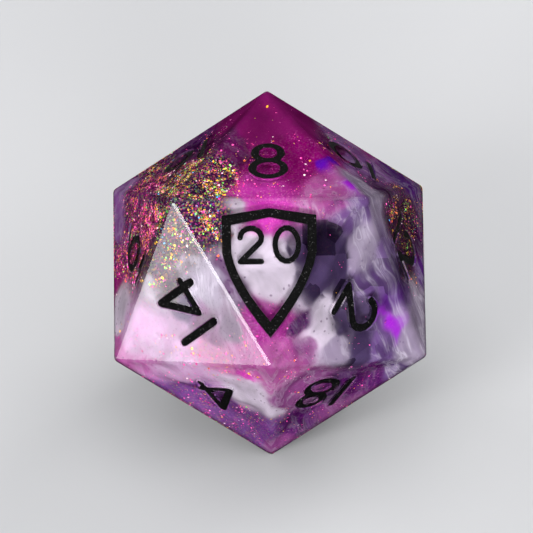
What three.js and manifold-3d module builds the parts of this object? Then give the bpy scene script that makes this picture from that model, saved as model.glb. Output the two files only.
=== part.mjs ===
// A twenty-sided die of cast resin with painted numerals. Millimetres, +Z up. The die
// rests on its face 13, and the origin is the centre of that face. Face 8 is level on
// top, and face 20 leans over the front (-Y).
//
// The casting is one solid. Every digit, every underline and the shield on face 20 is
// a solid of paint of its own, lying in a recess cut into the casting.

import * as THREE from 'three';
import { ConvexGeometry } from 'three/addons/geometries/ConvexGeometry.js';
import { mergeVertices } from 'three/addons/utils/BufferGeometryUtils.js';
import Module from 'manifold-3d';

// ---- Driving dimensions ----

const FLAT_TO_FLAT = 20;        // between two opposite faces
const EDGE_ROUNDING = 0.3;      // radius of the edges and corners
const DIGIT_HEIGHT = 3.85;      // from the top of the paint to its foot
const STROKE = 0.6;             // width of an engraved line
const DIGIT_SPACING = 0.5;      // clear face between two digits of one number
const SINGLE_DIGIT_RISE = 0.27; // a lone digit sits this far above its face's centre
const UNDERLINE_DROP = 0.55;    // from a digit's foot to the line under 6 and 9
const UNDERLINE_LENGTH = 2.6;
const ENGRAVE_DEPTH = 0.5;      // depth of a recess
const PAINT_DROP = 0.1;         // the paint lies this far below the face
const PAINT_GAP = 0.04;         // clearance between the paint and its recess

// The shield, from the centre of face 20.
const SHIELD_TOP = 2.8;
const SHIELD_PEAK = 0.5;        // the top rises by this much towards the middle
const SHIELD_HALF_WIDTH = 3.25;
const SHIELD_FOOT = 5.65;
const SHIELD_LINE = 0.7;        // width of its outline
const SHIELD_DIGIT_SCALE = 0.7;
const SHIELD_DIGIT_RISE = 0.75;

// ---- The icosahedron ----

const PHI = (1 + Math.sqrt(5)) / 2;
const INRADIUS = FLAT_TO_FLAT / 2;
const EDGE = 2 * Math.sqrt(3) * INRADIUS / PHI ** 2;
const FACE_RADIUS = EDGE / Math.sqrt(3);   // from a face's centre to its corners
const WAIST_HEIGHT = INRADIUS / PHI ** 3;  // of the middle rings, above the die's centre
const CENTRE = new THREE.Vector3(0, 0, INRADIUS);

// Standing on a face, the die has its twelve corners on four level rings of three.
function ring(radius, height, firstAngle) {
  return [0, 120, 240].map((step) => {
    const angle = THREE.MathUtils.degToRad(firstAngle + step);
    return new THREE.Vector3(radius * Math.cos(angle), radius * Math.sin(angle), height)
      .add(CENTRE);
  });
}

const [topBack, topLeft, topRight] = ring(FACE_RADIUS, INRADIUS, 90);
const [highRight, highLeft, highFront] = ring(FACE_RADIUS * PHI, WAIST_HEIGHT, 30);
const [, lowLeft, lowRight] = ring(FACE_RADIUS * PHI, -WAIST_HEIGHT, 90);
const [, , footFront] = ring(FACE_RADIUS, -INRADIUS, 30);

// Ten of the faces: value, corners, and the corner that the top of the number points to.
const UPPER_FACES = [
  [20, [topLeft, highFront, topRight], highFront],
  [8, [topLeft, topRight, topBack], topBack],
  [14, [topLeft, lowLeft, highFront], lowLeft],
  [2, [topRight, highFront, lowRight], lowRight],
  [16, [topLeft, topBack, highLeft], topLeft],
  [10, [topRight, highRight, topBack], topRight],
  [6, [topLeft, highLeft, lowLeft], highLeft],
  [12, [topRight, lowRight, highRight], highRight],
  [4, [lowLeft, footFront, highFront], footFront],
  [18, [highFront, footFront, lowRight], footFront],
];

const opposite = (corner) => CENTRE.clone().multiplyScalar(2).sub(corner);

// Opposite faces add up to 21. Each of the other ten faces is one of these turned over
// through the die's centre.
const FACES = UPPER_FACES.flatMap(([value, corners, up]) => [
  { value, corners, up },
  { value: 21 - value, corners: corners.map(opposite), up: opposite(up) },
]);

function faceCentre({ corners }) {
  const centre = new THREE.Vector3();
  corners.forEach((corner) => centre.addScaledVector(corner, 1 / 3));
  return centre;
}

const faceNormal = (face) => faceCentre(face).sub(CENTRE).normalize();

// A face's frame: origin at its centre, +Z out of the die, +Y towards the number's top.
// The shield on face 20 stands the other way up, with its foot in the corner.
function faceMatrix(face) {
  const out = faceNormal(face);
  const upward = face.up.clone().sub(faceCentre(face)).normalize();
  if (face.value === 20) {
    upward.negate();
  }
  const right = upward.clone().cross(out);
  return new THREE.Matrix4().makeBasis(right, upward, out).setPosition(faceCentre(face));
}

// The rounded die is the hull of points round each inset corner: one towards each face,
// one towards each edge between two of those faces, and one towards the corner.
function roundedDie() {
  const points = [];
  const corners = new Set(FACES.flatMap((face) => face.corners));
  const unique = [...corners].filter((corner, i, all) => (
    all.findIndex((other) => other.distanceTo(corner) < 0.01) === i));
  for (const corner of unique) {
    const fromCentre = corner.clone().sub(CENTRE);
    const inset = fromCentre.clone().multiplyScalar(1 - EDGE_ROUNDING / INRADIUS).add(CENTRE);
    const touching = FACES.filter((face) => (
      face.corners.some((other) => other.distanceTo(corner) < 0.01)));
    const normals = touching.map(faceNormal);
    const directions = [...normals, fromCentre.normalize()];
    normals.forEach((normal, i) => {
      for (const other of normals.slice(i + 1)) {
        if (normal.dot(other) > 0.7) {
          directions.push(normal.clone().add(other).normalize());
        }
      }
    });
    for (const direction of directions) {
      points.push(inset.clone().addScaledVector(direction, EDGE_ROUNDING));
    }
  }
  return solidOf(new ConvexGeometry(points));
}

// ---- Solids ----

const wasm = await Module();
wasm.setup();

function solidOf(geometry) {
  const bare = geometry.clone();
  bare.deleteAttribute('normal');
  bare.deleteAttribute('uv');
  const merged = mergeVertices(bare, 1e-4);
  return new wasm.Manifold(new wasm.Mesh({
    numProp: 3,
    vertProperties: new Float32Array(merged.attributes.position.array),
    triVerts: new Uint32Array(merged.index.array),
  }));
}

function geometryOf(solid) {
  const { vertProperties, triVerts } = solid.getMesh();
  const geometry = new THREE.BufferGeometry();
  geometry.setAttribute('position', new THREE.BufferAttribute(vertProperties, 3));
  geometry.setIndex(new THREE.BufferAttribute(triVerts, 1));
  geometry.computeVertexNormals();
  return geometry;
}

const joined = (solids) => solids.reduce((all, next) => all.add(next));

function extruded(shape, low, high) {
  const geometry = new THREE.ExtrudeGeometry(shape, { depth: high - low, bevelEnabled: false });
  return solidOf(geometry.translate(0, 0, low));
}

// ---- Strokes ----

const CAP_PIECES = 4;      // straight pieces in a line's round end
const ARC_PIECE = 22.5;    // degrees of an arc between two points
const OVAL_PIECES = 18;
const SWEEP_PIECES = 5;    // straight pieces in the long stroke of 6 and 9

// The outline of a line along a curve, with round ends.
function strokeShape(curve, pieces, width) {
  const side = (sign) => Array.from({ length: pieces + 1 }, (_, i) => {
    const tangent = curve.getTangent(i / pieces);
    const across = new THREE.Vector2(-tangent.y, tangent.x).multiplyScalar(sign * width / 2);
    return curve.getPoint(i / pieces).add(across);
  });
  const cap = (centre, from) => Array.from({ length: CAP_PIECES - 1 }, (_, i) => (
    from.clone().rotateAround(centre, -Math.PI * (i + 1) / CAP_PIECES)));
  const left = side(1);
  const right = side(-1);
  return new THREE.Shape([
    ...left,
    ...cap(curve.getPoint(1), left[pieces]),
    ...right.toReversed(),
    ...cap(curve.getPoint(0), right[0]),
  ]);
}

// Digits are drawn in units of half the height of their centre line.
const UNIT = (DIGIT_HEIGHT - STROKE) / 2;

const inUnits = ([x, y]) => new THREE.Vector2(x, y).multiplyScalar(UNIT);

function line(...ends) {
  const curve = new THREE.LineCurve(...ends.map(inUnits));
  return (width) => strokeShape(curve, 1, width);
}

// Part of an ellipse, clockwise from one angle down to a smaller one.
function arc(centre, radii, from, to) {
  const [start, end] = [from, to].map(THREE.MathUtils.degToRad);
  const { x, y } = inUnits(centre);
  const radius = inUnits(radii);
  const curve = new THREE.EllipseCurve(x, y, radius.x, radius.y, start, end, true);
  return (width) => strokeShape(curve, Math.ceil((from - to) / ARC_PIECE), width);
}

function sweep(...points) {
  const curve = new THREE.QuadraticBezierCurve(...points.map(inUnits));
  return (width) => strokeShape(curve, SWEEP_PIECES, width);
}

function oval(centre, radii) {
  const { x, y } = inUnits(centre);
  const radius = inUnits(radii);
  const outline = (grow) => new THREE.EllipseCurve(x, y, radius.x + grow, radius.y + grow)
    .getPoints(OVAL_PIECES)
    .slice(1);
  return (width) => {
    const shape = new THREE.Shape(outline(width / 2));
    shape.holes.push(new THREE.Path(outline(-width / 2)));
    return shape;
  };
}

const DIGITS = {
  0: [oval([0, 0], [0.7, 1])],
  1: [line([0, -1], [0, 1])],
  2: [
    arc([0, 0.44], [0.64, 0.56], 180, -38),
    line([0.5, 0.1], [-0.64, -1]),
    line([-0.64, -1], [0.62, -1]),
  ],
  3: [arc([0, 0.5], [0.54, 0.5], 160, -100), arc([0, -0.46], [0.64, 0.54], 105, -160)],
  4: [
    line([0.5, 1], [0.5, -1]),
    line([0.5, 1], [-0.74, -0.52]),
    line([-0.74, -0.52], [0.78, -0.52]),
  ],
  5: [
    line([0.54, 1], [-0.42, 1]),
    line([-0.42, 1], [-0.52, 0.08]),
    arc([0, -0.36], [0.64, 0.64], 138, -155),
  ],
  6: [oval([0, -0.4], [0.66, 0.6]), sweep([-0.65, -0.34], [-0.5, 0.62], [0.42, 1])],
  7: [line([-0.6, 1], [0.62, 1]), line([0.62, 1], [-0.22, -1])],
  8: [oval([0, 0.52], [0.56, 0.48]), oval([0, -0.47], [0.68, 0.53])],
  9: [oval([0, 0.4], [0.66, 0.6]), sweep([0.65, 0.34], [0.5, -0.62], [-0.42, -1])],
};

const UNDERLINE = line(
  [(STROKE - UNDERLINE_LENGTH) / 2 / UNIT, -1 - (STROKE + UNDERLINE_DROP) / UNIT],
  [(UNDERLINE_LENGTH - STROKE) / 2 / UNIT, -1 - (STROKE + UNDERLINE_DROP) / UNIT],
);

const digitSolid = (digit, low, high, gap) => joined(
  DIGITS[digit].map((stroke) => extruded(stroke(STROKE - 2 * gap), low, high)));

// A pointed shield, drawn smaller by the inset on every side.
function shieldPath(Path, inset) {
  const side = SHIELD_HALF_WIDTH - inset;
  const top = SHIELD_TOP - inset;
  const foot = SHIELD_FOOT - 1.75 * inset;
  const path = new Path().moveTo(side, top);
  path.lineTo(0, top + SHIELD_PEAK);
  path.lineTo(-side, top);
  path.lineTo(-side, 0.1 * top);
  path.quadraticCurveTo(-0.86 * side, -0.4 * foot, 0, -foot);
  path.quadraticCurveTo(0.86 * side, -0.4 * foot, side, 0.1 * top);
  return path;
}

function shieldSolid(low, high, gap) {
  const shape = new THREE.Shape(shieldPath(THREE.Path, gap).getPoints(6));
  shape.holes.push(new THREE.Path(shieldPath(THREE.Path, SHIELD_LINE - gap).getPoints(6)));
  return extruded(shape, low, high);
}

// ---- The marks on each face ----

// A mark is the name of its node, its place and scale in the face's frame, and its
// solid between two heights, drawn narrower by the gap on every side.
function digitMarks(value, scale, y) {
  const digits = String(value).split('');
  const label = String(value).padStart(2, '0');
  const places = digits.length === 1 ? [''] : ['_tens', '_units'];
  const spans = digits.map((digit) => {
    const { min, max } = digitSolid(digit, 0, 1, 0).boundingBox();
    return { left: min[0] * scale, right: max[0] * scale };
  });
  const inked = spans.reduce((sum, { left, right }) => sum + right - left, 0);
  let edge = -(inked + DIGIT_SPACING * (digits.length - 1)) / 2;
  return digits.map((digit, i) => {
    const x = edge - spans[i].left;
    edge += spans[i].right - spans[i].left + DIGIT_SPACING;
    return {
      name: `paint_${label}${places[i]}`,
      place: new THREE.Matrix4().makeTranslation(x, y, 0).scale(new THREE.Vector3(scale, scale, 1)),
      solid: (low, high, gap) => digitSolid(digit, low, high, gap),
    };
  });
}

function marksOn({ value }) {
  if (value === 20) {
    return [
      { name: 'paint_20_shield', place: new THREE.Matrix4(), solid: shieldSolid },
      ...digitMarks(value, SHIELD_DIGIT_SCALE, SHIELD_DIGIT_RISE),
    ];
  }
  const rise = value < 10 ? SINGLE_DIGIT_RISE : 0;
  const marks = digitMarks(value, 1, rise);
  if (value === 6 || value === 9) {
    marks.push({
      name: `${marks[0].name}_underline`,
      place: new THREE.Matrix4().makeTranslation(0, rise, 0),
      solid: (low, high, gap) => extruded(UNDERLINE(STROKE - 2 * gap), low, high),
    });
  }
  return marks;
}

// ---- Assembly ----

const resinMaterial = new THREE.MeshStandardMaterial({
  color: 0x5b2a63,
  roughness: 0.06,
  metalness: 0,
  transparent: true,
  opacity: 0.8,
});
const paintMaterial = new THREE.MeshStandardMaterial({
  color: 0x0b0b0c,
  roughness: 0.6,
  metalness: 0,
});

const die = new THREE.Group();
const cutters = [];

for (const face of FACES) {
  const group = new THREE.Group();
  group.applyMatrix4(faceMatrix(face));
  for (const { name, place, solid } of marksOn(face)) {
    const paint = new THREE.Mesh(
      geometryOf(solid(PAINT_GAP - ENGRAVE_DEPTH, -PAINT_DROP, PAINT_GAP)), paintMaterial);
    paint.name = name;
    paint.applyMatrix4(place);
    group.add(paint);

    // The cutter stands out of the face, so that it leaves no skin over the recess.
    const placed = faceMatrix(face).multiply(place);
    cutters.push(solid(-ENGRAVE_DEPTH, EDGE_ROUNDING, 0).transform(placed.elements));
  }
  die.add(group);
}

const casting = new THREE.Mesh(
  geometryOf(roundedDie().subtract(joined(cutters))), resinMaterial);
casting.name = 'resin_casting';
die.add(casting);

export default die;
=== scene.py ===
import math
import random
from collections import namedtuple

import bmesh
import bpy
import numpy
from mathutils import Matrix, Vector, noise
from mathutils.bvhtree import BVHTree


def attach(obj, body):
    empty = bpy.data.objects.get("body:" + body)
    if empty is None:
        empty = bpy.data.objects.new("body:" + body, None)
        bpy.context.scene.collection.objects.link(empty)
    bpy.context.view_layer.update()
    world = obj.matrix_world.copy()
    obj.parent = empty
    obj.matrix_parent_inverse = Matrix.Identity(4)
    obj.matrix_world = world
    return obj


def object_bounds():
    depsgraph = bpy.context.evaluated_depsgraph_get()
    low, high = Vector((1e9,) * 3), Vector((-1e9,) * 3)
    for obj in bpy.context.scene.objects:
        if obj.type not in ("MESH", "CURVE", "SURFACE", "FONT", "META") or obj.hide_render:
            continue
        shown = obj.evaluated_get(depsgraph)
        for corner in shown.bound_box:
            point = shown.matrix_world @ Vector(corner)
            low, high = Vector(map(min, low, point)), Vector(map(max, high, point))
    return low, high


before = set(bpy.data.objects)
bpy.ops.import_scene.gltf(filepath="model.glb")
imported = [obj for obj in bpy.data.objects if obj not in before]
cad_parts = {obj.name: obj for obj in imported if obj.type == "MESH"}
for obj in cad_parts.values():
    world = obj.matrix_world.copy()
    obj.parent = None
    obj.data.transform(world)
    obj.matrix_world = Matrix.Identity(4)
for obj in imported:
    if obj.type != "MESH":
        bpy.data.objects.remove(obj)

cad_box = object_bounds()
random.seed(20)
MM = 0.001

# ---- The die's own geometry, from its box ----

PHI = (1 + math.sqrt(5)) / 2
CENTRE = (cad_box[0] + cad_box[1]) / 2
INRADIUS = (cad_box[1].z - cad_box[0].z) / 2
FACE_RADIUS = 2 * INRADIUS / PHI ** 2      # from a face's centre to its corners
WAIST_HEIGHT = INRADIUS / PHI ** 3


def ring(radius, height, first_angle, names):
    """Three of the die's corners, level with one another, a third of a turn apart."""
    corners = {}
    for step, name in enumerate(names):
        angle = math.radians(first_angle + 120 * step)
        corners[name] = CENTRE + Vector((radius * math.cos(angle), radius * math.sin(angle), height))
    return corners


CORNERS = {
    **ring(FACE_RADIUS, INRADIUS, 90, ["top_back", "top_left", "top_right"]),
    **ring(FACE_RADIUS * PHI, WAIST_HEIGHT, 30, ["high_right", "high_left", "high_front"]),
    **ring(FACE_RADIUS * PHI, -WAIST_HEIGHT, 90, ["low_back", "low_left", "low_right"]),
    **ring(FACE_RADIUS, -INRADIUS, 30, ["foot_right", "foot_left", "foot_front"]),
}

FACES = {
    20: ("top_left", "top_right", "high_front"),
    8: ("top_left", "top_right", "top_back"),
    14: ("top_left", "low_left", "high_front"),
    2: ("top_right", "high_front", "low_right"),
    16: ("top_left", "top_back", "high_left"),
    10: ("top_right", "top_back", "high_right"),
    6: ("top_left", "low_left", "high_left"),
    12: ("top_right", "low_right", "high_right"),
    4: ("low_left", "high_front", "foot_front"),
    18: ("high_front", "foot_front", "low_right"),
    11: ("low_left", "foot_front", "foot_left"),
    5: ("low_right", "foot_front", "foot_right"),
    9: ("low_left", "high_left", "foot_left"),
    15: ("low_right", "high_right", "foot_right"),
    13: ("foot_left", "foot_right", "foot_front"),
    3: ("top_back", "high_left", "low_back"),
    17: ("top_back", "high_right", "low_back"),
    19: ("high_left", "low_back", "foot_left"),
    7: ("high_right", "low_back", "foot_right"),
    1: ("low_back", "foot_left", "foot_right"),
}


def spot(face, shares):
    """A point on a face, by its shares of the face's three corners."""
    total = sum(shares)
    return sum((CORNERS[name] * (share / total) for name, share in zip(FACES[face], shares)), Vector())


def normal_of(face):
    return (spot(face, (1, 1, 1)) - CENTRE).normalized()


# ---- The resins, and where each was poured ----

def colour(code):
    """A linear colour from a six-digit sRGB code."""
    channels = [int(code[i:i + 2], 16) / 255 for i in (0, 2, 4)]
    return tuple(c / 12.92 if c <= 0.04045 else ((c + 0.055) / 1.055) ** 2.4 for c in channels)


# How much of each colour of flake goes in: gold, orange, pink, green, blue, pearl.
GOLD_FLAKES = (0.34, 0.08, 0.22, 0.18, 0.06, 0.12)
AMBER_FLAKES = (0.28, 0.34, 0.12, 0.22, 0.02, 0.02)
ROSE_FLAKES = (0.16, 0.09, 0.66, 0.03, 0.00, 0.06)
PINK_FLAKES = (0.12, 0.10, 0.68, 0.00, 0.00, 0.10)

# Depth is how far below the face the cloudy resin lies, in mm, under clear resin, and
# flakes is the mix of glitter in it. The rest, from 0 to 1, is how strong each pattern is.
# The facet pattern paints in reflections and shade of the far faces, and shimmer paints in the glints
# of mica.
Resin = namedtuple(
    "Resin",
    "code depth glitter flakes shimmer veils specks facets",
    defaults=(0.0, PINK_FLAKES, 0.0, 0.0, 0.0, 0.0),
)
RESINS = {
    "white": Resin("ded3e2", 0.3, veils=0.2, specks=0.6),
    "milk": Resin("a294ac", 0.4, veils=0.8, specks=0.3),
    "blush": Resin("d6acd4", 0.35, glitter=0.05, shimmer=0.2, veils=0.4, specks=0.2),
    "dusk": Resin("7a5c80", 0.5, veils=0.3, specks=1.0),
    "lilac": Resin("684c80", 0.7, veils=0.6, specks=0.3, facets=0.4),
    "orchid": Resin("9a64ac", 0.5, glitter=0.03, veils=0.6, specks=0.2),
    "mauve": Resin("8e4888", 0.8, glitter=0.03, shimmer=0.2, veils=0.3, specks=0.5),
    "smoke": Resin("382c48", 1.7, glitter=0.01, facets=1.0),
    "ink": Resin("38143e", 1.3, glitter=0.02, shimmer=0.1, veils=0.15, facets=0.3),
    "plum": Resin("4c105a", 1.1, glitter=0.04, shimmer=0.3, veils=0.15, facets=0.3),
    "wine": Resin("6a1660", 1.1, glitter=0.06, flakes=ROSE_FLAKES, shimmer=0.2, veils=0.1),
    "deep_magenta": Resin("901c70", 1.0, glitter=0.01, shimmer=0.05),
    "magenta": Resin("a00c7c", 0.9, glitter=0.06, shimmer=0.8),
    "cerise": Resin("a0308c", 0.7, glitter=0.08, shimmer=0.5, veils=0.1, specks=0.5),
    "hot_pink": Resin("d840bc", 0.5, glitter=0.1, shimmer=1.0),
    "pink_haze": Resin("de92c6", 0.4, glitter=0.3, shimmer=0.8, veils=0.2),
    "rose": Resin("c060aa", 0.5, glitter=0.06, shimmer=0.4, veils=0.4, specks=0.5),
    "violet": Resin("58287a", 1.1, veils=0.4, facets=0.2),
    # A bright violet painted in where light breaks through the clear resin: painted light, laid in
    # like a pour.
    "flash": Resin("c02cf0", 0.5, shimmer=0.3),
    "blue_violet": Resin("6c12c8", 1.0, glitter=0.02, shimmer=0.2),
    "gold_glitter": Resin("40204c", 1.7, glitter=0.75, flakes=GOLD_FLAKES),
    "sparse_glitter": Resin("54405c", 1.2, glitter=0.42, flakes=GOLD_FLAKES),
    "amber_glitter": Resin("48284c", 1.4, glitter=0.3, flakes=AMBER_FLAKES),
    "rose_glitter": Resin("6c2a68", 1.5, glitter=0.7, flakes=ROSE_FLAKES, shimmer=0.2),
    "purple_glitter": Resin("784494", 1.1, glitter=0.2, flakes=ROSE_FLAKES, shimmer=0.3, veils=0.1),
}

# Resin, face, shares of the face's corners, and radius in mm.
POURS = [
    ("deep_magenta", 8, (1, 1, 8), 3.0),
    ("magenta", 8, (2, 4, 5), 2.6),
    ("magenta", 8, (3, 3, 3), 2.2),
    ("blue_violet", 8, (0.6, 6.0, 3.4), 0.7),
    # Painted light: a bright violet glint through the clear resin.
    ("flash", 8, (0.6, 8.4, 1.0), 0.8),
    ("hot_pink", 8, (5, 3.6, 1.4), 2.2),
    ("rose", 8, (2, 7, 0.5), 1.6),
    ("gold_glitter", 8, (7, 1, 2), 2.6),
    ("wine", 8, (4, 0.5, 5), 2.0),
    ("gold_glitter", 16, (7, 1.4, 2), 2.6),
    ("rose_glitter", 16, (4.5, 0.6, 5), 2.2),
    ("plum", 16, (1, 4, 4), 2.4),
    ("wine", 16, (3, 6, 1), 1.8),
    ("orchid", 16, (0.5, 0.8, 8.7), 1.5),
    ("rose_glitter", 6, (5, 2, 4), 3.4),
    ("orchid", 6, (0.5, 2, 8), 1.6),
    ("white", 6, (0.8, 7, 2.2), 1.6),
    ("rose", 6, (0.5, 9, 0.5), 1.4),
    ("sparse_glitter", 14, (7.8, 1.2, 1), 2.3),
    ("sparse_glitter", 14, (5.6, 4, 0.4), 1.9),
    ("milk", 14, (5, 1.5, 3.5), 1.8),
    ("white", 14, (4, 5, 1), 1.2),
    ("milk", 14, (2.6, 6, 1.4), 1.0),
    ("lilac", 14, (3, 4, 3), 1.3),
    ("blush", 14, (1, 7, 2), 2.2),
    ("mauve", 14, (2.4, 3.2, 4.4), 1.1),
    ("rose", 14, (0.8, 1.6, 7.6), 1.6),
    ("rose", 14, (0.3, 9, 0.7), 0.9),
    ("pink_haze", 14, (0.4, 4, 5.6), 1.1),
    ("dusk", 14, (2.2, 1.6, 6.2), 0.8),
    ("gold_glitter", 20, (8, 1, 1), 2.2),
    ("white", 20, (6, 2.8, 1.2), 1.0),
    ("white", 20, (5.2, 1.6, 3.2), 1.3),
    ("white", 20, (3, 3, 4.5), 2.0),
    ("hot_pink", 20, (5, 4.5, 0.8), 1.5),
    ("plum", 20, (2, 8, 0.4), 1.1),
    ("lilac", 20, (0.5, 8.5, 1), 1.0),
    ("smoke", 20, (0.8, 6, 3.2), 1.8),
    ("smoke", 20, (0.1, 4.9, 5), 1.2),
    ("cerise", 20, (1.5, 0.8, 7.2), 1.5),
    ("dusk", 20, (5.5, 0.2, 4.3), 1.0),
    ("dusk", 20, (4.3, 0.1, 5.6), 1.0),
    ("cerise", 20, (2.8, 0, 7.2), 0.9),
    ("plum", 20, (0.2, 2.3, 7.5), 1.05),
    ("rose", 20, (0.3, 0.4, 9.3), 1.5),
    ("mauve", 2, (0.7, 7.5, 1.8), 1.2),
    ("white", 2, (2, 5.8, 2.2), 1.6),
    ("milk", 2, (1, 5.2, 3.8), 1.2),
    ("smoke", 2, (2.6, 4, 3.2), 1.6),
    ("white", 2, (3.6, 5, 1.4), 0.9),
    ("smoke", 2, (0.6, 3.8, 5.6), 1.5),
    ("lilac", 2, (0.5, 2.4, 7), 1.4),
    ("milk", 2, (0.4, 0.6, 9), 1.2),
    ("violet", 2, (3.8, 0.6, 5.6), 1.1),
    # Painted light: a line of bright violet where light breaks through the clear resin.
    ("flash", 2, (3.2, 1.4, 5.4), 0.6),
    ("flash", 2, (2.7, 1.2, 6.1), 0.5),
    ("flash", 2, (2.2, 1.1, 6.7), 0.5),
    ("flash", 2, (1.6, 1.0, 7.4), 0.6),
    ("lilac", 2, (5.4, 1.4, 3.2), 1.4),
    ("smoke", 2, (6, 3.2, 1), 1.5),
    ("milk", 2, (6.8, 1.1, 2.1), 1.3),
    ("lilac", 2, (8.5, 1, 0.6), 1.2),
    ("wine", 10, (2.4, 5, 2.6), 1.4),
    ("orchid", 10, (0.5, 5.5, 4), 1.6),
    ("orchid", 10, (3, 3, 4), 2.2),
    ("milk", 10, (8, 1, 1), 1.3),
    ("ink", 10, (5.6, 0.5, 3.9), 1.1),
    ("violet", 10, (1, 1, 8), 1.6),
    # Painted light: bright violet glints through the clear resin.
    ("flash", 10, (4.3, 1.6, 4.1), 0.45),
    ("flash", 10, (3.7, 1.2, 5.1), 0.45),
    ("deep_magenta", 10, (1, 8, 1), 1.8),
    ("amber_glitter", 12, (3, 2.4, 5), 2.2),
    ("milk", 12, (7.8, 1, 1.2), 1.2),
    ("lilac", 12, (6, 3.4, 0.6), 1.4),
    ("plum", 12, (1, 3.5, 5.5), 1.4),
    ("violet", 12, (0.2, 5, 5), 1.0),
    ("milk", 12, (1, 8, 1), 1.8),
    ("hot_pink", 4, (2.2, 7, 0.5), 1.3),
    ("rose", 4, (8, 1.8, 0.6), 1.4),
    ("blush", 4, (5.6, 2.8, 1.6), 2.1),
    ("white", 4, (1.2, 6, 2.8), 1.9),
    ("purple_glitter", 4, (5, 1, 4), 2.4),
    ("purple_glitter", 4, (2, 1, 7), 2.4),
    ("rose", 18, (8, 1.2, 0.8), 1.5),
    ("white", 18, (5.6, 4.2, 0.2), 1.1),
    ("mauve", 18, (5, 3.3, 1.9), 1.7),
    ("plum", 18, (2.4, 3.4, 4.2), 1.5),
    ("plum", 18, (1.5, 1.8, 6.7), 1.4),
    ("lilac", 18, (0.6, 0.8, 8.6), 1.6),
    ("plum", 18, (1.3, 7, 1.8), 1.6),
    ("mauve", 18, (0.4, 9, 0.4), 1.2),
    # The far side carries the same resins on round.
    ("gold_glitter", 3, (2, 7, 1), 2.4),
    ("mauve", 3, (4, 3, 3), 2.6),
    ("rose", 3, (2, 1, 7), 2.0),
    ("magenta", 17, (3, 3, 3), 3.0),
    ("white", 17, (1, 3, 6), 2.6),
    ("lilac", 19, (2, 4, 4), 2.4),
    ("white", 19, (1, 6, 3), 2.0),
    ("orchid", 19, (4, 2, 5), 2.4),
    ("smoke", 7, (3, 6, 2), 2.0),
    ("milk", 7, (3, 3, 4), 2.2),
    ("gold_glitter", 7, (7, 2, 1), 2.0),
    ("white", 15, (3, 3, 3), 2.4),
    ("orchid", 15, (1, 3, 6), 2.0),
    ("mauve", 5, (3, 3, 3), 3.0),
    ("rose", 5, (2, 2, 6), 2.2),
    ("magenta", 9, (3, 3, 3), 2.6),
    ("rose_glitter", 9, (2, 7, 1), 2.2),
    ("rose", 11, (3, 3, 3), 2.4),
    ("white", 11, (2, 3, 6), 2.4),
    ("rose_glitter", 1, (7, 2, 2), 2.6),
    ("hot_pink", 1, (2, 5, 4), 2.4),
    ("purple_glitter", 13, (3, 3, 3), 3.2),
    ("white", 13, (1, 5, 3), 2.0),
]
BLEND_SHARPNESS = 8.0

POUR_PLACES = numpy.array([spot(face, shares) for _, face, shares, _ in POURS])
POUR_RADII = numpy.array([radius * MM for *_, radius in POURS])


def pour_shares(point):
    """How much of each pour is at a point: a share for each, adding up to one."""
    away = numpy.linalg.norm(POUR_PLACES - point, axis=1) / POUR_RADII
    weights = (away + 0.01) ** -BLEND_SHARPNESS
    return weights / weights.sum()


def trait(name):
    """A trait of the resins, such as their depth, for every pour in turn."""
    return numpy.array([getattr(RESINS[pour[0]], name) for pour in POURS])


DEPTHS = trait("depth") * MM
GLITTER = trait("glitter")


# ---- Node helpers ----

def new_material(name):
    material = bpy.data.materials.new(name)
    material.use_nodes = True
    tree = material.node_tree
    return material, tree, tree.nodes["Principled BSDF"]


def put(tree, kind, inputs=None, **settings):
    """A new node with its settings and inputs, where an input is a value or a socket."""
    node = tree.nodes.new(kind)
    for key, value in settings.items():
        setattr(node, key, value)
    for key, value in (inputs or {}).items():
        if isinstance(value, bpy.types.NodeSocket):
            tree.links.new(value, node.inputs[key])
        else:
            node.inputs[key].default_value = value
    return node


def maths(tree, operation, *values):
    return put(tree, "ShaderNodeMath", dict(enumerate(values)), operation=operation).outputs[0]


def vector(tree, operation, *values):
    node = put(tree, "ShaderNodeVectorMath", dict(enumerate(values)), operation=operation)
    return node.outputs["Value" if operation in ("DISTANCE", "DOT_PRODUCT") else "Vector"]


def scaled(tree, value, by):
    node = put(tree, "ShaderNodeVectorMath", {0: value, "Scale": by}, operation="SCALE")
    return node.outputs["Vector"]


def object_place(tree):
    return put(tree, "ShaderNodeTexCoord").outputs["Object"]


def noise_at(tree, place, scale, detail=3.0, output="Fac", **inputs):
    """Noise with its pitch given in repeats per millimetre."""
    values = {"Vector": place, "Scale": scale / MM, "Detail": detail, **inputs}
    return put(tree, "ShaderNodeTexNoise", values).outputs[output]


def ramp(tree, value, stops):
    node = put(tree, "ShaderNodeValToRGB", {"Fac": value})
    elements = node.color_ramp.elements
    while len(elements) < len(stops):
        elements.new(0.5)
    for element, (position, shade) in zip(elements, stops):
        element.position = position
        element.color = (*shade, 1) if isinstance(shade, tuple) else (shade, shade, shade, 1)
    return node.outputs["Color"]


def blended(tree, share, first, second, blend_type="MIX"):
    node = put(tree, "ShaderNodeMix", data_type="RGBA", blend_type=blend_type)
    for key, value in {0: share, 6: first, 7: second}.items():
        if isinstance(value, bpy.types.NodeSocket):
            tree.links.new(value, node.inputs[key])
        else:
            node.inputs[key].default_value = (*value, 1) if isinstance(value, tuple) else value
    return node.outputs[2]


# ---- Materials ----

SLOW_STIRS = ((0.2, 2.6), (0.5, 1.6))      # repeats per mm, and reach in mm
QUICK_STIRS = ((1.3, 0.35),)


def stirred(tree, place, stirs):
    """The place that a point's resin was stirred there from."""
    for pitch, reach in stirs:
        stir = noise_at(tree, place, pitch, 0.0, "Color")
        stir = vector(tree, "SUBTRACT", stir, (0.5, 0.5, 0.5))
        place = vector(tree, "ADD", place, scaled(tree, stir, reach * MM))
    return place


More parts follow.
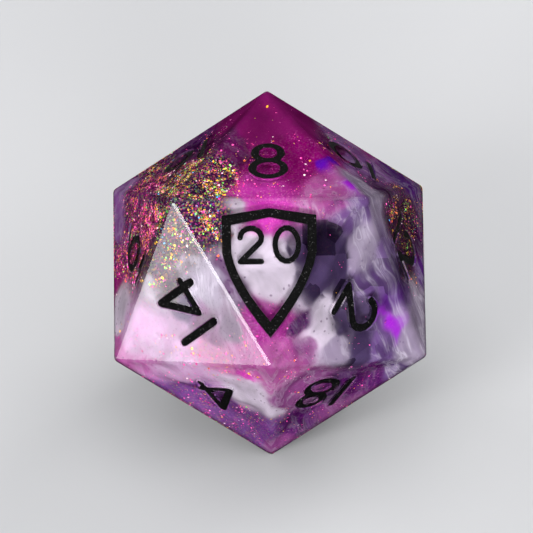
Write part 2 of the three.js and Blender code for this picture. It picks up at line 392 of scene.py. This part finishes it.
def poured(tree, place):
    """The mean colour of the pours at a place, and how strong each pattern is there."""
    total = 0.0
    shade = (0.0, 0.0, 0.0)
    strengths = [(0.0, 0.0, 0.0), (0.0, 0.0, 0.0)]
    for name, face, shares, radius in POURS:
        resin = RESINS[name]
        away = vector(tree, "DISTANCE", place, spot(face, shares))
        away = maths(tree, "MULTIPLY_ADD", away, 1 / (radius * MM), 0.01)
        weight = maths(tree, "POWER", away, -BLEND_SHARPNESS)
        total = maths(tree, "ADD", weight, total)
        shade = vector(tree, "ADD", scaled(tree, colour(resin.code), weight), shade)
        own = [(resin.shimmer, resin.veils, resin.specks), (resin.facets, resin.glitter, 0.0)]
        strengths = [vector(tree, "ADD", scaled(tree, more, weight), so_far)
                     for more, so_far in zip(own, strengths)]
    share = maths(tree, "DIVIDE", 1.0, total)
    split = [put(tree, "ShaderNodeSeparateXYZ", {0: scaled(tree, three, share)}).outputs
             for three in strengths]
    shimmer, veils, specks = split[0]
    facets, glitter = split[1][:2]
    return scaled(tree, shade, share), shimmer, veils, specks, facets, glitter


def cells_at(tree, place, scale, output, **settings):
    values = {"Vector": place, "Scale": scale / MM}
    return put(tree, "ShaderNodeTexVoronoi", values, **settings).outputs[output]


VEIL_FLOW = (CORNERS["low_right"] - CORNERS["top_right"]).normalized()
VEIL_STRETCH = 9.0      # how much longer along the flow than across it


def marble_material():
    """The marbled resins: each pour's colour round its place, stirred, with pale veils
    drawn out along the flow, dark specks in the white and mica in the pinks, its glints
    painted in, with painted reflections and shade of the far faces and painted glints of fine glitter."""
    material, tree, shader = new_material("marbled_resin")
    bare = object_place(tree)
    slow = stirred(tree, bare, SLOW_STIRS)
    place = stirred(tree, slow, QUICK_STIRS)
    shade, shimmer, veils, specks, facets, glitter = poured(tree, place)

    # Painted reflections and painted shade: straight-edged patches, lighter and darker, such as the
    # far faces make when seen through clear resin.
    facet_reflection_cells = cells_at(tree, bare, 0.42, "Color", distance="CHEBYCHEV")
    cell = put(tree, "ShaderNodeSeparateXYZ", {0: facet_reflection_cells})
    tone = ramp(tree, cell.outputs[0], [(0.2, (0.3, 0.25, 0.35)), (0.8, (2.3, 2.3, 2.3))])
    shade = blended(tree, facets, shade, tone, "MULTIPLY")

    # Pale veils drawn out into strands along the flow.
    calmer = vector(tree, "ADD", scaled(tree, bare, 0.6), scaled(tree, slow, 0.4))
    along = vector(tree, "DOT_PRODUCT", calmer, VEIL_FLOW)
    along = maths(tree, "MULTIPLY", along, 1 - 1 / VEIL_STRETCH)
    squeezed = vector(tree, "SUBTRACT", calmer, scaled(tree, VEIL_FLOW, along))
    pale = ramp(tree, noise_at(tree, squeezed, 1.4, 2.0), [
        (0.38, 0.0),
        (0.48, 0.2),
        (0.54, 1.0),
        (0.58, 0.3),
        (0.63, 0.75),
        (0.7, 0.0),
    ])
    patchy = ramp(tree, noise_at(tree, bare, 0.35, 2.0), [(0.35, 0.2), (0.6, 1.0)])
    pale = maths(tree, "MULTIPLY", pale, patchy)
    shade = blended(tree, maths(tree, "MULTIPLY", pale, veils), shade, colour("e4dcec"))

    cloud = ramp(tree, noise_at(tree, place, 0.5, 3.0), [(0.3, 0.68), (0.6, 1.05)])
    shade = blended(tree, 1.0, shade, cloud, "MULTIPLY")

    dots = cells_at(tree, vector(tree, "ADD", bare, scaled(tree, place, 0.3)), 1.7, "Distance")
    dots = ramp(tree, dots, [(0.13, 0.9), (0.24, 0.0)])
    clumps = ramp(tree, noise_at(tree, bare, 0.6, 2.0), [(0.4, 0.0), (0.5, 1.0)])
    dots = maths(tree, "MULTIPLY", dots, clumps)
    shade = blended(tree, maths(tree, "MULTIPLY", dots, specks), shade, colour("4c1c56"))

    # The flecks in the pinks are real; their glints are painted in as pale pink, gathered in drifts.
    mica = noise_at(tree, bare, 7.0, 3.0)
    bright = ramp(tree, mica, [(0.5, 0.0), (0.6, 0.4), (0.7, 1.0)])
    drifts = ramp(tree, noise_at(tree, bare, 0.5, 2.0), [(0.45, 0.15), (0.62, 1.0)])
    bright = maths(tree, "MULTIPLY", bright, drifts)
    shade = blended(tree, maths(tree, "MULTIPLY", bright, shimmer), shade, colour("f878dc"))

    # Glitter too fine to see flake by flake, painted in as coloured grains: their colour is the
    # glitter's own, their brightness painted glints.
    grain = put(tree, "ShaderNodeSeparateXYZ", {0: cells_at(tree, bare, 9.0, "Color")})
    hue = ramp(tree, grain.outputs[0], [
        (0.0, (0.7, 0.05, 0.6)),
        (0.4, (1.0, 0.1, 0.3)),
        (0.6, (1.0, 0.6, 0.08)),
        (0.8, (0.35, 0.8, 0.15)),
        (1.0, (0.2, 0.35, 0.9)),
    ])
    lit = ramp(tree, grain.outputs[1], [(0.5, 0.0), (0.9, 0.8)])
    shade = blended(tree, maths(tree, "MULTIPLY", lit, glitter), shade, hue)

    tree.links.new(shade, shader.inputs["Base Color"])
    shader.inputs["Roughness"].default_value = 0.6
    shader.inputs["Specular IOR Level"].default_value = 0.0
    return material


def clear_material():
    """Clear polished resin. Lamps shine straight through it on to what is inside."""
    material, tree, shader = new_material("clear_resin")
    shader.inputs["Base Color"].default_value = (0.97, 0.93, 0.98, 1)
    shader.inputs["Transmission Weight"].default_value = 1.0
    shader.inputs["IOR"].default_value = 1.5
    shader.inputs["Roughness"].default_value = 0.0
    path = put(tree, "ShaderNodeLightPath")
    window = put(tree, "ShaderNodeBsdfTransparent")
    mix = put(tree, "ShaderNodeMixShader", {
        0: path.outputs["Is Shadow Ray"],
        1: shader.outputs[0],
        2: window.outputs[0],
    })
    output = tree.nodes["Material Output"]
    tree.links.new(mix.outputs[0], output.inputs["Surface"])
    return material


def paint_material():
    """Matt black paint with a fine grain and a few pale specks of glitter dust, painted in as glints.
    """
    material, tree, shader = new_material("black_paint")
    place = object_place(tree)
    grain = noise_at(tree, place, 9.0, 4.0)
    # The highest of the grain is painted pale: painted glints of the glitter dust.
    shade = ramp(tree, grain, [
        (0.35, (0.001, 0.001, 0.001)),
        (0.6, (0.004, 0.004, 0.004)),
        (0.68, (0.03, 0.03, 0.03)),
        (0.75, (0.4, 0.36, 0.38)),
    ])
    tree.links.new(shade, shader.inputs["Base Color"])
    rough = ramp(tree, grain, [(0.3, 0.45), (0.7, 0.7)])
    tree.links.new(rough, shader.inputs["Roughness"])
    shader.inputs["Specular IOR Level"].default_value = 0.1
    bump = put(tree, "ShaderNodeBump", {"Height": grain, "Strength": 0.5, "Distance": 0.03 * MM})
    tree.links.new(bump.outputs[0], shader.inputs["Normal"])
    return material


def glitter_material(name, dark, bright):
    """Glitter of one colour, its tone varying at random, where some flakes glow with a painted glint,
    an emission, and others are in shade.
    """
    material, tree, shader = new_material(name)
    place = object_place(tree)
    tone = noise_at(tree, place, 3.0, 1.0)
    shade = ramp(tree, tone, [(0.35, dark), (0.65, bright)])
    tree.links.new(shade, shader.inputs["Base Color"])
    # Painted glints: an emission makes the flakes glow where this noise is high.
    flash = ramp(tree, noise_at(tree, place, 5.0, 1.0), [(0.45, 0.0), (0.6, 1.0)])
    tree.links.new(blended(tree, 1.0, shade, flash, "MULTIPLY"), shader.inputs["Emission Color"])
    shader.inputs["Emission Strength"].default_value = 1.3
    shader.inputs["Metallic"].default_value = 0.7
    shader.inputs["Roughness"].default_value = 0.4
    return material


def floor_material():
    material, tree, shader = new_material("pale_floor")
    place = object_place(tree)
    mottle = noise_at(tree, place, 0.02, 3.0)
    shade = ramp(tree, mottle, [(0.3, (0.58, 0.58, 0.59)), (0.7, (0.62, 0.62, 0.63))])
    tree.links.new(shade, shader.inputs["Base Color"])
    shader.inputs["Roughness"].default_value = 0.6
    return material


# ---- Pieces ----

def paint_tree():
    """A search tree over every block of paint."""
    vertices, polygons = [], []
    for name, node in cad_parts.items():
        if name.startswith("paint"):
            start = len(vertices)
            vertices += [v.co.copy() for v in node.data.vertices]
            polygons += [[start + i for i in p.vertices] for p in node.data.polygons]
    return BVHTree.FromPolygons(vertices, polygons)


PAINT = paint_tree()
UNDER_PAINT = 0.62 * MM      # the marbled resin lies at least this deep under a recess
NEAR_FACE = 0.16 * MM        # and this deep elsewhere
AT_EDGE = 0.2 * MM           # its depth along the die's edges
EDGE_SLOPE = 0.55            # how fast it may deepen on the way in from an edge
PAINT_MARGIN = 0.3 * MM      # it stays that deep for this far round a recess
PAINT_FADE = 1.0 * MM        # and comes up over this distance
PAINT_REACH = 1.4 * MM       # paint further off than this doesn't matter
NORMALS = [normal_of(face) for face in FACES]
BETWEEN_NORMALS = math.pi - math.acos(-math.sqrt(5) / 3)


def edge_distance(point):
    """How far a point of a face is from the nearest edge of that face."""
    under = sorted(INRADIUS - normal.dot(point - CENTRE) for normal in NORMALS)[1]
    return under / math.sin(BETWEEN_NORMALS)


def marble_depth(point, shares):
    """How far the marbled resin lies below a point of the die's surface."""
    ripple = noise.noise(point / (1.6 * MM)) * 0.25 + noise.noise(point / (0.6 * MM)) * 0.1
    depth = float(DEPTHS @ shares) * (1 + ripple)
    depth = min(depth, AT_EDGE + EDGE_SLOPE * edge_distance(point))
    near = PAINT.find_nearest(point, PAINT_REACH)[3]
    clear = 0.0 if near is None else max(0.0, 1 - max(near - PAINT_MARGIN, 0) / PAINT_FADE)
    least = NEAR_FACE + (UNDER_PAINT - NEAR_FACE) * clear
    return max(depth, least)


def sunk(point, depth):
    """A point of a face moved straight down by a depth, towards the die's centre."""
    return CENTRE + (point - CENTRE) * (1 - depth / INRADIUS)


MARBLE_CUTS = 5


def marble_core(material):
    mesh = bmesh.new()
    corners = {name: mesh.verts.new(place) for name, place in CORNERS.items()}
    for names in FACES.values():
        mesh.faces.new([corners[name] for name in names])
    for _ in range(MARBLE_CUTS):
        bmesh.ops.subdivide_edges(mesh, edges=mesh.edges[:], cuts=1, use_grid_fill=True)
    bmesh.ops.triangulate(mesh, faces=mesh.faces[:])
    for vertex in mesh.verts:
        place = vertex.co.copy()
        vertex.co = sunk(place, marble_depth(place, pour_shares(place)))
    bmesh.ops.recalc_face_normals(mesh, faces=mesh.faces[:])
    data = bpy.data.meshes.new("marbled_core")
    mesh.to_mesh(data)
    mesh.free()
    data.shade_smooth()
    finished("marbled_core", data, material)


def finished(name, data, material):
    piece = bpy.data.objects.new(name, data)
    bpy.context.scene.collection.objects.link(piece)
    data.materials.append(material)
    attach(piece, "root")


FLAKE_TRIES = 260000
FLAKE_RADII = (0.02, 0.025, 0.025, 0.03, 0.035, 0.045, 0.08)      # in mm
LONE_FLAKE_RADIUS = 0.14 * MM
FLAKE_TILT = 0.45             # spread of the lean away from the face
FLAKE_DRIFT = 1.0             # mm that the flakes are carried from their pour
BARE_EDGE = 0.7 * MM          # they thin out this close to an edge of the die
FLAKE_TOP = 0.1 * MM          # the least depth of one below the face
ABOVE_MARBLE = 0.06 * MM      # the least height of one over the marbled resin
CLEAR_OF_PAINT = 0.3 * MM


def flakes():
    """Glitter flakes in the clear resin, thick where a pour holds glitter. For each, its
    place, the way out of the die, and the mix of colours that it is drawn from."""
    names = list(FACES)
    for _ in range(FLAKE_TRIES):
        a, b = sorted((random.random(), random.random()))
        point = spot(random.choice(names), (a, b - a, 1 - b))
        drifted = point + noise.noise_vector(point / (2.0 * MM)) * FLAKE_DRIFT * MM
        shares = pour_shares(drifted)
        clump = 0.5 + 2.2 * noise.noise(point / (0.8 * MM))
        clump *= min(1.0, edge_distance(point) / BARE_EDGE)
        if random.random() > float(GLITTER @ shares) * clump:
            continue
        deepest = marble_depth(point, pour_shares(point)) - ABOVE_MARBLE
        depth = random.uniform(FLAKE_TOP, max(deepest, 0.12 * MM))
        place = sunk(point, depth)
        if depth < deepest and PAINT.find_nearest(place, CLEAR_OF_PAINT)[3] is None:
            yield place, (point - CENTRE).normalized(), RESINS[POURS[shares.argmax()][0]].flakes


GLITTERS = [
    ("glitter_gold", (1.0, 0.42, 0.02), (1.0, 0.75, 0.08)),
    ("glitter_orange", (1.0, 0.14, 0.03), (1.0, 0.4, 0.08)),
    ("glitter_pink", (1.0, 0.03, 0.35), (1.0, 0.2, 0.6)),
    ("glitter_green", (0.1, 0.75, 0.12), (0.45, 1.0, 0.15)),
    ("glitter_blue", (0.05, 0.35, 1.0), (0.2, 0.75, 1.0)),
    ("glitter_pearl", (0.9, 0.6, 0.75), (1.0, 0.9, 0.85)),
]


def hexagon(place, out, radius):
    """The corners of a flat flake, turned any way in its own plane."""
    tilt = Vector([random.gauss(0, FLAKE_TILT) for _ in range(3)])
    turn = (out + tilt).to_track_quat("Z", "Y")
    start = random.uniform(0, math.tau)
    angles = [start + math.tau * i / 6 for i in range(6)]
    return [place + turn @ Vector((math.cos(a), math.sin(a), 0)) * radius for a in angles]


def glitter():
    corners = [[] for _ in GLITTERS]
    for place, out, mix in flakes():
        radius = random.choice(FLAKE_RADII) * random.uniform(0.8, 1.2) * MM
        random.choices(corners, mix)[0].extend(hexagon(place, out, radius))
    lone = sunk(spot(8, (0.6, 0.6, 8.8)), 0.3 * MM)
    corners[0].extend(hexagon(lone, normal_of(8), LONE_FLAKE_RADIUS))
    for (name, dark, bright), points in zip(GLITTERS, corners):
        data = bpy.data.meshes.new(name)
        rows = [list(range(start, start + 6)) for start in range(0, len(points), 6)]
        data.from_pydata(points, [], rows)
        finished(name, data, glitter_material(name, dark, bright))


# ---- Stage ----

def floor():
    bpy.ops.mesh.primitive_plane_add(size=2.0)
    plane = bpy.context.object
    plane.name = "floor"
    plane.data.materials.append(floor_material())
    plane.visible_glossy = False      # the die shows its own colours, not the pale floor


def softbox(name, towards, distance, size, power, start=CENTRE):
    """A lamp at a distance from the start, in the given direction, facing it."""
    light = bpy.data.lights.new(name, "AREA")
    light.shape = "RECTANGLE"
    light.size, light.size_y = size
    light.energy = power
    lamp = bpy.data.objects.new(name, light)
    direction = Vector(towards).normalized()
    lamp.location = start + direction * distance
    lamp.rotation_mode = "QUATERNION"
    lamp.rotation_quaternion = direction.to_track_quat("Z", "Y")
    lamp.visible_camera = False
    bpy.context.scene.collection.objects.link(lamp)
    return lamp


def mirrored(normal):
    """The direction that a facet with this normal shows to the camera."""
    view = towards_camera()
    return 2 * normal.dot(view) * normal - view


CAMERA_AZIMUTH = math.radians(-0.3)
CAMERA_ELEVATION = math.radians(41.36)
CAMERA_ROLL = math.radians(-0.5)
CAMERA_DISTANCE = 660 * MM
SENSOR_WIDTH = 36
VIEW_WIDTH = 36.66 * MM
AIM = (-0.18 * MM, 0.44 * MM)     # right and up from the die's centre


def towards_camera():
    level = math.cos(CAMERA_ELEVATION)
    return Vector((
        math.sin(CAMERA_AZIMUTH) * level,
        -math.cos(CAMERA_AZIMUTH) * level,
        math.sin(CAMERA_ELEVATION),
    ))


def camera():
    data = bpy.data.cameras.new("camera")
    data.sensor_width = SENSOR_WIDTH
    data.lens = SENSOR_WIDTH * CAMERA_DISTANCE / VIEW_WIDTH
    data.clip_start = 0.01
    data.clip_end = 10
    lens = bpy.data.objects.new("camera", data)
    lens.rotation_mode = "QUATERNION"
    turn = towards_camera().to_track_quat("Z", "Y").to_matrix() @ Matrix.Rotation(CAMERA_ROLL, 3, "Z")
    aim = CENTRE + turn.col[0] * AIM[0] + turn.col[1] * AIM[1]
    lens.location = aim + towards_camera() * CAMERA_DISTANCE
    lens.rotation_quaternion = turn.to_quaternion()
    bpy.context.scene.collection.objects.link(lens)
    bpy.context.scene.camera = lens


def studio_world():
    """An even pale room. It isn't mirrored, as if black cloth hung round the die."""
    world = bpy.data.worlds.new("studio")
    world.use_nodes = True
    background = world.node_tree.nodes["Background"]
    background.inputs["Color"].default_value = (0.88, 0.9, 0.94, 1)
    background.inputs["Strength"].default_value = 0.45
    world.cycles_visibility.glossy = False
    bpy.context.scene.world = world


def lights():
    low = softbox("low", (0.1, -1.0, 0.1), 400 * MM, (150 * MM, 150 * MM), 1.5)
    low.visible_glossy = False      # it lights the insides, and no face mirrors it
    softbox("key", (-0.6, -0.65, 0.55), 400 * MM, (140 * MM, 140 * MM), 0.55)
    softbox("fill", (0.75, -0.35, 0.65), 450 * MM, (240 * MM, 240 * MM), 0.35)
    softbox("ceiling", (-0.1, 0.1, 1.0), 1200 * MM, (1200 * MM, 1200 * MM), 4.0)
    softbox("back", (0.75, 0.75, 0.5), 400 * MM, (200 * MM, 200 * MM), 0.75)
    softbox("back_left", (-0.8, 0.6, 0.3), 400 * MM, (200 * MM, 200 * MM), 0.5)

    # A small card that the whole face with the 14 mirrors, and a strip that its edge with
    # the 20 mirrors all the way round its curve. Both only shine in the clear resin.
    left, right = normal_of(14), normal_of(20)
    card = softbox("card", mirrored(left), 60 * MM, (21 * MM, 21 * MM), 0.0068, spot(14, (1, 1, 1)))
    ridge = (left + right).normalized()
    strip = softbox("strip", mirrored(ridge), 400 * MM, (70 * MM, 360 * MM), 1.05, spot(14, (1, 0, 1)))
    across = strip.rotation_quaternion.inverted() @ (mirrored(right) - mirrored(left))
    strip.rotation_quaternion @= Vector((0, 1, 0)).rotation_difference(across)
    shines_on = bpy.data.collections.new("mirrors_the_cards")
    shines_on.objects.link(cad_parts["resin_casting"])
    card.light_linking.receiver_collection = shines_on
    strip.light_linking.receiver_collection = shines_on


# ---- Everything together ----

PAINT_FINISH = paint_material()
CLEAR = clear_material()
for name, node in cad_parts.items():
    node.data.materials.clear()
    node.data.materials.append(PAINT_FINISH if name.startswith("paint") else CLEAR)

marble_core(marble_material())
glitter()
floor()
studio_world()
lights()
camera()
bpy.context.scene.view_settings.view_transform = "Standard"
bpy.context.scene.cycles.caustics_refractive = False
